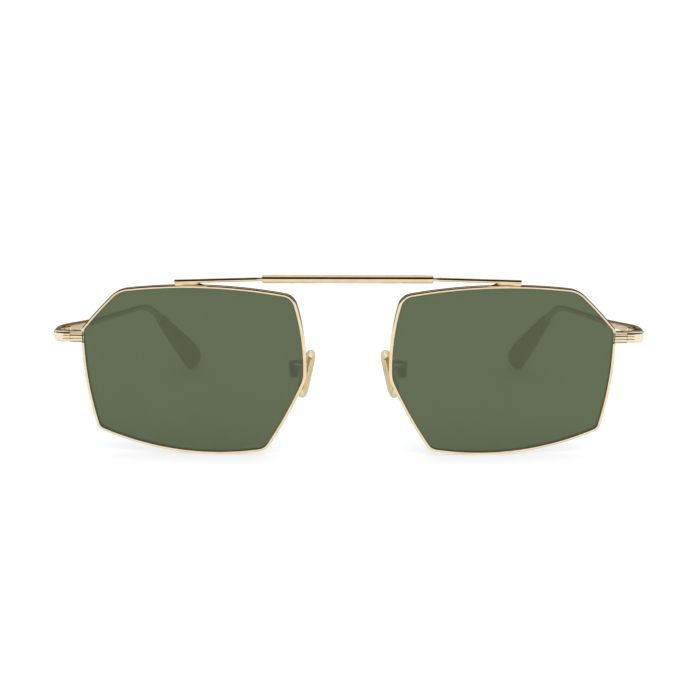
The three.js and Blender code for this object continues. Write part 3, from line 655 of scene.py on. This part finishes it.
def catmull(points, count):
    """A centripetal Catmull-Rom curve through points, at equal steps of its length."""
    pts = [np.array(p, float) for p in points]
    pts = [2 * pts[0] - pts[1]] + pts + [2 * pts[-1] - pts[-2]]
    dense = []
    for i in range(1, len(pts) - 2):
        p0, p1, p2, p3 = pts[i - 1:i + 3]
        gaps = ((p0, p1), (p1, p2), (p2, p3))
        d0, d1, d2 = (math.sqrt(np.linalg.norm(b - a)) for a, b in gaps)
        t1 = ((p1 - p0) / d0 - (p2 - p0) / (d0 + d1) + (p2 - p1) / d1) * d1
        t2 = ((p2 - p1) / d1 - (p3 - p1) / (d1 + d2) + (p3 - p2) / d2) * d1
        for t in np.linspace(0, 1, 80, endpoint=False):
            dense.append(p1 + t1 * t + (-3 * p1 + 3 * p2 - 2 * t1 - t2) * t * t
                         + (2 * p1 - 2 * p2 + t1 + t2) * t**3)
    dense = np.array(dense + [pts[-2]])
    run = np.concatenate([[0], np.cumsum(np.linalg.norm(np.diff(dense, axis=0), axis=1))])
    at = np.linspace(0, run[-1], count)
    return np.stack([np.interp(at, run, dense[:, k]) for k in range(3)], 1), run[-1]


def along_curve(line, total, at):
    """Points of the line at distances along it."""
    place = np.array(at) / total * (len(line) - 1)
    return np.stack([np.interp(place, np.arange(len(line)), line[:, k]) for k in range(3)], 1)


def sweep(line, total, stations, section):
    """Rings along a line. section(s) gives points (sideways, up) for the station s."""
    places = along_curve(line, total, stations)
    step = total / 400
    ahead = along_curve(line, total, np.clip(np.array(stations) + step, 0, total))
    behind = along_curve(line, total, np.clip(np.array(stations) - step, 0, total))
    rings = []
    for place, a, b, s in zip(places, ahead, behind, stations):
        tangent = (a - b) / np.linalg.norm(a - b)
        sideways = np.cross(tangent, [0, 0, 1.0])
        sideways /= np.linalg.norm(sideways)
        upwards = np.cross(sideways, tangent)
        ring = np.array(section(s))
        rings.append(place + ring[:, :1] * sideways + ring[:, 1:] * upwards)
    return np.array(rings)


def oval(half, tall, power, sides, rise=0.0, twist=0.0):
    """A section that is an ellipse at power 1 and grows squarer below that."""
    angles = np.linspace(0, 2 * math.pi, sides, endpoint=False)
    c, s = np.cos(angles), np.sin(angles)
    wide = half * np.sign(c) * np.abs(c) ** power
    high = tall * np.sign(s) * np.abs(s) ** power + rise
    return np.stack([wide * math.cos(twist) - high * math.sin(twist),
                     wide * math.sin(twist) + high * math.cos(twist)], 1)


# ---------------------------------------------------------------- temples

SLOPE = -math.tan(math.radians(6.2))
DROP = math.radians(36)
INWARD = math.radians(13)
DROP_LENGTH = 45.5
LEAF_LENGTH = 5.5
# Distance behind the hinge, and how far inside the hinge the arm runs there.
STRAIGHT = (5.45, 0)
BOW = (30, 3.8)
MIDDLE = (60, 7.3)
EAR_BEND = (85, 11.9)
WIRE_THICK = 1.25
WIRE_ROOT = 2.6
WIRE_WAIST = 1.4
WIRE_FLARE = 0.6
CORE_RADIUS = 0.55
CORE_IN_TIP = 24
TIP_ROOT_WIDTH = 3.3
TIP_WIDTH = 6.7
TIP_HALF_THICK = 1.3
TIP_HANG = 1.45
TIP_TWIST = math.radians(28)


def temple_point(distance, inset):
    return np.array([TEMPLE_X - inset, BUTT_Y + distance, HINGE_Z + distance * SLOPE])


def temple_line():
    bend, mid = temple_point(*EAR_BEND), temple_point(*MIDDLE)
    arrive = (bend - mid) / np.linalg.norm(bend - mid)
    level = math.cos(DROP)
    leave = np.array([-math.sin(INWARD) * level, math.cos(INWARD) * level, -math.sin(DROP)])
    return catmull([
        temple_point(-0.1, 0), temple_point(*STRAIGHT), temple_point(*BOW), mid,
        bend - arrive * 5, bend + leave * 5,
        bend + leave * DROP_LENGTH / 2, bend + leave * DROP_LENGTH,
    ], 1200)


TEMPLE, TEMPLE_LENGTH = temple_line()
TIP_AT = TEMPLE_LENGTH - DROP_LENGTH + 9.4


def temple_arm(side, name):
    """The flattened wire, with a round core that runs on inside the tip."""
    last = TIP_AT - GAP

    def section(s):
        along = s / last
        height = WIRE_ROOT + (WIRE_WAIST - WIRE_ROOT) * smoothstep(along, 0, 0.42)
        height += WIRE_FLARE * smoothstep(along, 0.75, 1)
        ease = min(1.0, 0.86 + 0.14 * math.sqrt(min(max(s - 0.15, 0), 0.25) / 0.25))
        return oval(WIRE_THICK / 2 * ease, height / 2 * ease, 0.6, 32)

    start = [0.15, 0.17, 0.22, 0.3, 0.4]
    stations = start + list(np.linspace(0.6, last, 110))
    rings = sweep(TEMPLE, TEMPLE_LENGTH, stations, section)
    core = sweep(TEMPLE, TEMPLE_LENGTH, list(np.linspace(last - 0.6, TIP_AT + CORE_IN_TIP, 24)),
                 lambda s: oval(CORE_RADIUS, CORE_RADIUS, 1.0, 16))
    for ring in rings[:30]:
        inner = (ring[:, 0] < STRAP_IN) & (ring[:, 1] < BUTT_Y + LEAF_LENGTH)
        ring[inner, 0] = STRAP_IN
    obj = build(f"temple_wire_{name}", rings, islands=[(core, False, True)])
    nodes = [f"temple_arm_{name}"]
    # The wire wears the darker copy of the gold plating: painted shade.
    return settle(obj, side, f"temple_{name}", "pale_gold", nodes, 40, "temple_gold_painted_shade")


def temple_tip(side, name):
    """The flat paddle, which grows wider to its round end."""
    length = TEMPLE_LENGTH - TIP_AT

    def section(s):
        along = (s - TIP_AT) / length
        width = TIP_ROOT_WIDTH + (TIP_WIDTH - TIP_ROOT_WIDTH) * min(along / 0.72, 1)
        beyond = max(0.0, 1 - (1 - along) * length / (TIP_WIDTH / 2))
        close = max(0.05, math.sqrt(max(0.0, 1 - beyond**2)))
        opening = 0.78 + 0.22 * math.sin(min(along * length / 0.9, 1) * math.pi / 2)
        thick = TIP_HALF_THICK * max(0.25, math.sqrt(close)) * opening
        twist = TIP_TWIST * smoothstep(along, 0, 0.35)
        return oval(thick, width / 2 * close * opening, 0.78, 44, width / 2 - TIP_HANG, twist)

    root = list(TIP_AT + np.array([0, 0.1, 0.25, 0.45, 0.7, 1.0]))
    body = list(np.linspace(TIP_AT + 1.6, TEMPLE_LENGTH - 3.4, 40))
    end = list(TEMPLE_LENGTH - 3.35 * (1 - np.sin(np.linspace(0, math.pi / 2, 16)[1:])))
    rings = sweep(TEMPLE, TEMPLE_LENGTH, root + body + end, section)
    obj = build(f"temple_tip_paddle_{name}", rings)
    return settle(obj, side, f"temple_{name}", "tip_acetate", [f"temple_tip_{name}"], 50)


# ---------------------------------------------------------------- brow bar


def brow_sleeve():
    """The tube round the middle of the rod, with rounded ends and a bore."""
    angles = np.linspace(0, 2 * math.pi, 48, endpoint=False)
    profile = [(-BAR_HALF, SLEEVE_BORE), (-BAR_HALF, SLEEVE_MOUTH)]
    profile += [(-BAR_HALF + SLEEVE_ROUND * (1 - math.cos(a)),
                 SLEEVE_MOUTH + SLEEVE_ROUND * math.sin(a))
                for a in np.linspace(0, math.pi / 2, 8)[1:]]
    profile += [(x, BAR_RADIUS) for x in np.linspace(-BAR_HALF + 1, 0, 12)]
    profile += [(-x, r) for x, r in reversed(profile[:-1])]
    profile += [(BAR_HALF, SLEEVE_BORE), (-BAR_HALF, SLEEVE_BORE)]
    rings = [[(x, BAR_Y + r * math.cos(a), BAR_Z + r * math.sin(a)) for a in angles]
             for x, r in profile]
    obj = build("brow_bar_sleeve", np.array(rings), closed=True)
    bm = bmesh.new()
    bm.from_mesh(obj.data)
    bmesh.ops.remove_doubles(bm, verts=bm.verts, dist=1e-5)
    bmesh.ops.recalc_face_normals(bm, faces=bm.faces)
    bm.to_mesh(obj.data)
    bm.free()
    return settle(obj, 1, "front", "polished_gold", ["brow_sleeve"], 40)


def rim_top_at(x):
    """Height of the rim's outer edge over a place along the front."""
    ring = outline(RIM_WIDTH)
    ring = ring[ring[:, 1] > LENS_HEIGHT * 0.8]
    order = np.argsort(ring[:, 0])
    return float(np.interp((x - BRIDGE / 2) / math.cos(WRAP), ring[order, 0], ring[order, 1]))


def brow_rod():
    """One bent rod over both rims, with a foot under each end that meets the rim."""
    bend = BAR_HALF + 0.4
    reach = BRIDGE / 2 + ARM_SHARE * LENS_WIDTH
    end = np.array([
        reach, BAR_Y + (reach - bend) * math.tan(WRAP), RIM_TOP + ROD_RADIUS + ARM_LIFT])
    knee = np.array([bend, BAR_Y, BAR_Z])
    way = (end - knee) / np.linalg.norm(end - knee)
    half = [knee - [1.2, 0, 0], knee - [0.35, 0, 0], knee + way * 0.35, knee + way * 1.2, end]
    line = [p * [-1, 1, 1] for p in reversed(half)] + half
    path, total = catmull(line, 1500)
    ends = [0, 0.02, 0.05, 0.1, 0.2, 0.4]
    stations = ends + list(np.linspace(0.6, total - 0.6, 260)) + [total - e for e in reversed(ends)]

    def section(s):
        away = min(s, total - s)
        round_end = math.sqrt(max(0.0, 1 - (1 - min(away, ROD_END) / ROD_END) ** 2))
        radius = ROD_RADIUS * (ROD_END_SHARE + (1 - ROD_END_SHARE) * round_end)
        flat = smoothstep(abs(s - total / 2), BAR_HALF + 0.3, BAR_HALF + 1.5)
        return oval(radius, radius, 1.0 - 0.35 * flat, 28, 0.0, ROD_TWIST)

    rod = sweep(path, total, stations, section)
    feet = []
    for k in (1, -1):
        foot = []
        for t in np.linspace(0, 1, 24):
            share = 1 - FOOT_LENGTH / np.linalg.norm(end - knee) * (1 - t) - 0.006
            place = knee + (end - knee) * share
            swell = math.sin(math.pi * min(max(t, 0.03), 0.97)) ** 0.35
            low = rim_top_at(place[0]) + FOOT_GAP
            top = low + 0.06 + (place[2] - 0.16 - low) * smoothstep(t, 0.0, 0.45)
            half_wide = FOOT_HALF_WIDTH * swell
            middle, half_tall = (top + low) / 2, (top - low) / 2
            foot.append([(k * place[0], place[1] + half_wide * c, middle + half_tall * s)
                         for c, s in FOOT_SECTION])
        feet.append((foot, False, True))
    obj = build("brow_bar_rod", rod, islands=feet)
    return settle(obj, 1, "front", "pale_gold", ["brow_rod"], 40)


# ---------------------------------------------------------------- nose pads

PAD_FRAME = (
    Matrix.Translation((BRIDGE / 2 - 0.6, 7.4, 18.6))
    @ Matrix.Rotation(math.radians(-12), 4, "Z")
    @ Matrix.Rotation(math.radians(-14), 4, "Y")
)


def from_pad(points):
    turn = np.array(PAD_FRAME)
    return np.array(points) @ turn[:3, :3].T + turn[:3, 3]


def pad_ring(x, inset, count=56):
    """The pad's outline at depth x: rounder and wider below, narrower above."""
    height, low, high = PAD_HEIGHT, PAD_WIDTH * 0.5, PAD_WIDTH * 0.42
    points = []
    for k in range(count):
        t = k / count
        if t < 0.5:
            a = math.pi * (t / 0.5)
            reach, middle = high - inset, height / 2 - high
        else:
            a = math.pi + math.pi * ((t - 0.5) / 0.5)
            reach, middle = low - inset, -height / 2 + low
        points.append((x, reach * math.cos(a), middle + reach * math.sin(a)))
    return points


def nose_pad(side, name):
    """The soft pad: a crowned face to the nose, round edges and a flat back."""
    half, fore, rear = PAD_THICK / 2, PAD_FRONT_EDGE, PAD_BACK_EDGE
    rings = [pad_ring(-half + 0.03, 1.6), pad_ring(-half + 0.05, 1.1)]
    for a in np.linspace(0.12, math.pi / 2, 8):
        rings.append(pad_ring(-half + 0.07 + fore * (1 - math.cos(a)), fore * (1 - math.sin(a))))
    for a in np.linspace(math.pi / 2, 0.1, 8):
        rings.append(pad_ring(half - rear * (1 - math.cos(a)), rear * (1 - math.sin(a))))
    rings.append(pad_ring(half, 1.3))
    rings = np.array([from_pad(r) for r in rings])
    obj = build(f"silicone_pad_{name}", rings)
    obj = settle(obj, side, f"pad_{name}", "pad_silicone", [f"nose_pad_{name}"], 60)
    return obj


def pad_arm(side, name):
    """The box that holds the pad's screw, and the wire that carries it from the rim."""
    plan = np.array([
        (BOX_NEAR, -BOX_HALF_OUT), (BOX_FAR, -BOX_HALF_OUT),
        (BOX_FAR, BOX_HALF_OUT), (BOX_NEAR, BOX_HALF_OUT),
        (BOX_NEAR, BOX_HALF_IN), (BOX_WEB, BOX_HALF_IN),
        (BOX_WEB, -BOX_HALF_IN), (BOX_NEAR, -BOX_HALF_IN),
    ])
    dense = []
    for i, p in enumerate(plan):
        q = plan[(i + 1) % len(plan)]
        way = (q - p) / np.linalg.norm(q - p)
        dense += [p + way * BOX_EDGE, q - way * BOX_EDGE]
    rings = []
    top = BOX_HEIGHT / 2
    edges = (-top, BOX_EDGE), (-top + BOX_EDGE, 0.0), (top - BOX_EDGE, 0.0), (top, BOX_EDGE)
    for z, inset in edges:
        rings.append(from_pad([(x, y, z) for x, y in inset_plan(np.array(dense), inset)]))
    root = to_front(0.5 - RIM_WIDTH, RIM_DEPTH + GAP)
    rear = to_front(0.5 - RIM_WIDTH, RIM_DEPTH - 0.3)
    ring = outline()
    ring = ring[ring[:, 0] < LENS_WIDTH / 2]
    inset = float(ring[np.argmin(np.abs(ring[:, 1] - PAD_ARM_HEIGHT)), 0])
    start = np.array([root[0] + inset, root[1], PAD_ARM_HEIGHT])
    behind = np.array([rear[0] + inset + 0.7, rear[1] + 3.0, PAD_ARM_HEIGHT])
    turn = from_pad([(BOX_FAR + 0.7, -0.9, top + 0.6)])[0]
    stop = from_pad([(BOX_FAR - 0.1, 0, 0)])[0]
    line, total = catmull([start, behind, turn, stop], 400)
    tube = round_tube(line, total, PAD_ARM_RADIUS)
    obj = build(f"pad_wire_{name}", np.array(rings), islands=[(tube, False, True)])
    return settle(obj, side, "front", "pale_gold", [f"pad_arm_{name}"], 35)


def round_tube(line, total, radius, sides=20, steps=60):
    """A round wire that never twists: each ring's frame is carried on from the last."""
    places = along_curve(line, total, np.linspace(0, total, steps))
    rings = []
    across = None
    for i, place in enumerate(places):
        tangent = places[min(i + 1, steps - 1)] - places[max(i - 1, 0)]
        tangent /= np.linalg.norm(tangent)
        if across is None:
            across = np.cross(tangent, [0.3, 0.2, 1.0])
        across = across - tangent * np.dot(across, tangent)
        across /= np.linalg.norm(across)
        other = np.cross(tangent, across)
        angles = np.linspace(0, 2 * math.pi, sides, endpoint=False)
        around = np.cos(angles)[:, None] * across + np.sin(angles)[:, None] * other
        rings.append(place + radius * around)
    return np.array(rings)


# ---------------------------------------------------------------- assembly

for side, name in ((1, "left"), (-1, "right")):
    rim(side, name)
    lens(side, name)
    block_piece(side, name, "upper", BLOCK_SPLIT + GAP, BLOCK_HIGH)
    block_piece(side, name, "lower", BLOCK_LOW, BLOCK_SPLIT - GAP)
    end_piece(side, name)
    temple_arm(side, name)
    temple_tip(side, name)
    nose_pad(side, name)
    pad_arm(side, name)
brow_sleeve()
brow_rod()

# The small turned and cut parts keep their CAD shape, with softened edges.
SMALL = {"rim_lock_screw": 0.04, "hinge_screw": 0.04, "hinge_front": 0.05, "hinge_temple": 0.05,
         "pad_screw": 0.03, "pad_insert": 0.04}
for node_name, obj in NODES.items():
    kind = node_name.rsplit("_", 1)[0]
    if kind not in SMALL:
        continue
    slot = "polished_gold" if kind == "pad_insert" else "pale_gold"
    obj.data.materials.clear()
    obj.data.materials.append(MATERIALS[slot])
    soft = obj.modifiers.new("edges", "BEVEL")
    soft.width = SMALL[kind] * 0.001
    soft.segments = 2
    soft.limit_method = "ANGLE"
    soft.angle_limit = math.radians(40)
    soft.harden_normals = True

# ---------------------------------------------------------------- floor, light and camera


def floor():
    """A wide flat pale floor. It glows a little, and glossy rays don't see it."""
    steps = np.linspace(-FLOOR_REACH, FLOOR_REACH, 41)
    mesh_rows = [[(x, y, 0.0) for x in steps] for y in steps]
    bm = bmesh.new()
    grid = [[bm.verts.new(p) for p in row] for row in mesh_rows]
    for a, b in zip(grid, grid[1:]):
        for k in range(len(a) - 1):
            bm.faces.new((a[k], a[k + 1], b[k + 1], b[k]))
    mesh = bpy.data.meshes.new("floor")
    bm.to_mesh(mesh)
    bm.free()
    obj = bpy.data.objects.new("floor", mesh)
    bpy.context.scene.collection.objects.link(obj)
    mat, tree, out = material("pale_floor")
    shader = tree.nodes.new("ShaderNodeBsdfPrincipled")
    paper = noise(tree, in_mm(tree), 0.02, 4.0)
    link(tree, ramp(tree, paper, [(0.3, (0.60, 0.603, 0.61)), (0.7, (0.62, 0.623, 0.63))]),
         shader.inputs["Base Color"])
    link(tree, spread(tree, paper, 0.55, 0.7), shader.inputs["Roughness"])
    shader.inputs["Specular IOR Level"].default_value = 0.0
    shader.inputs["Emission Color"].default_value = (1.0, 1.0, 1.0, 1.0)
    shader.inputs["Emission Strength"].default_value = FLOOR_GLOW
    link(tree, shader.outputs[0], out.inputs["Surface"])
    obj.data.materials.append(mat)
    obj.visible_glossy = False


def math_node(tree, operation, *values):
    node = tree.nodes.new("ShaderNodeMath")
    node.operation = operation
    for socket, value in zip(node.inputs, values):
        if isinstance(value, (int, float)):
            socket.default_value = value
        else:
            link(tree, value, socket)
    return node.outputs[0]


def world():
    """The studio that the metal reflects; the camera itself sees plain white.

    Going over the object from front to back: white wall, a dark gap above it, a pale ceiling,
    and a dim back. The gap draws the dark lines in the metal.
    """
    sky = bpy.data.worlds.new("studio")
    bpy.context.scene.world = sky
    sky.use_nodes = True
    tree = sky.node_tree
    tree.nodes.clear()
    out = tree.nodes.new("ShaderNodeOutputWorld")
    back = tree.nodes.new("ShaderNodeBackground")
    place = tree.nodes.new("ShaderNodeTexCoord")
    split = tree.nodes.new("ShaderNodeSeparateXYZ")
    link(tree, place.outputs["Generated"], split.inputs["Vector"])
    sideways = math_node(tree, "ABSOLUTE", split.outputs["X"])
    forwards = math_node(tree, "MULTIPLY", split.outputs["Y"], -1.0)
    ahead = math_node(tree, "MULTIPLY_ADD", sideways, 0.5, forwards)
    rise = math_node(tree, "ARCTAN2", split.outputs["Z"], ahead)
    share = math_node(tree, "MULTIPLY_ADD", rise, 0.5 / math.pi, 0.5)
    walls = ramp(tree, share, [
        (0.0, BACK), (0.012, BACK), (0.02, WALL), (0.52, WALL), (0.535, DARK), (0.67, DARK),
        (0.72, CEILING), (0.90, CEILING), (0.93, BACK), (1.0, BACK)])
    seen = tree.nodes.new("ShaderNodeLightPath")
    total = tree.nodes.new("ShaderNodeMix")
    total.data_type = "RGBA"
    link(tree, seen.outputs["Is Camera Ray"], total.inputs["Factor"])
    height = math_node(tree, "MULTIPLY_ADD", split.outputs["Z"], 0.5, 0.5)
    below = ramp(tree, height, [(0.0, LOW), (0.08, LOW), (0.35, WALL), (1.0, WALL)])
    shaded = tree.nodes.new("ShaderNodeMix")
    shaded.data_type = "RGBA"
    shaded.blend_type = "MULTIPLY"
    shaded.inputs["Factor"].default_value = 1.0
    link(tree, walls, shaded.inputs["A"])
    link(tree, below, shaded.inputs["B"])
    link(tree, shaded.outputs["Result"], total.inputs["A"])
    total.inputs["B"].default_value = SEEN
    link(tree, total.outputs["Result"], back.inputs["Color"])
    link(tree, back.outputs[0], out.inputs["Surface"])


FLOOR_REACH = 6.0
FLOOR_GLOW = 0.46
SEEN = (1.05, 1.05, 1.05, 1.0)
WALL = (1.0, 1.0, 1.0)
LOW = (0.86, 0.90, 0.92)
DARK = (0.025, 0.010, 0.003)
BACK = (0.11, 0.075, 0.045)
CEILING = (0.80, 0.86, 0.92)


def sun(name, toward, angle, strength):
    """A wide soft source far away, so that the whole floor is lit evenly."""
    data = bpy.data.lights.new(name, "SUN")
    data.angle = math.radians(angle)
    data.energy = strength
    obj = bpy.data.objects.new(name, data)
    obj.rotation_euler = Vector(toward).to_track_quat("Z", "Y").to_euler()
    obj.visible_glossy = False
    bpy.context.scene.collection.objects.link(obj)


SENSOR_MM = 36
LENS_MM = 90
NEAREST = 0.01
CAMERA_REACH = 0.420
CAMERA_HEIGHT = 0.0906
CAMERA_ROUND = math.radians(0.9)
CAMERA_YAW = math.radians(0.825)
CAMERA_PITCH = math.radians(8.684)


def camera():
    """Seen from the front, slightly from above, with a long lens."""
    data = bpy.data.cameras.new("camera")
    data.sensor_width = SENSOR_MM
    data.lens = LENS_MM
    data.clip_start = NEAREST
    obj = bpy.data.objects.new("camera", data)
    bpy.context.scene.collection.objects.link(obj)
    front = SEAT.translation.y
    level, yaw = math.cos(CAMERA_PITCH), CAMERA_YAW
    ahead = Vector((-math.sin(yaw) * level, math.cos(yaw) * level, -math.sin(CAMERA_PITCH)))
    right = Vector((math.cos(yaw), math.sin(yaw), 0))
    up = right.cross(ahead)
    turn = Matrix((right, up, -ahead)).transposed().to_4x4()
    place = (CAMERA_REACH * math.sin(CAMERA_ROUND),
             front - CAMERA_REACH * math.cos(CAMERA_ROUND), CAMERA_HEIGHT)
    obj.matrix_world = Matrix.Translation(place) @ turn
    bpy.context.scene.camera = obj


floor()
world()
sun("overhead", toward=(0.1, -0.35, 1.0), angle=80, strength=1.9)
sun("front_fill", toward=(0.25, -1.0, 0.55), angle=60, strength=0.9)
camera()
bpy.context.scene.view_settings.view_transform = "Standard"
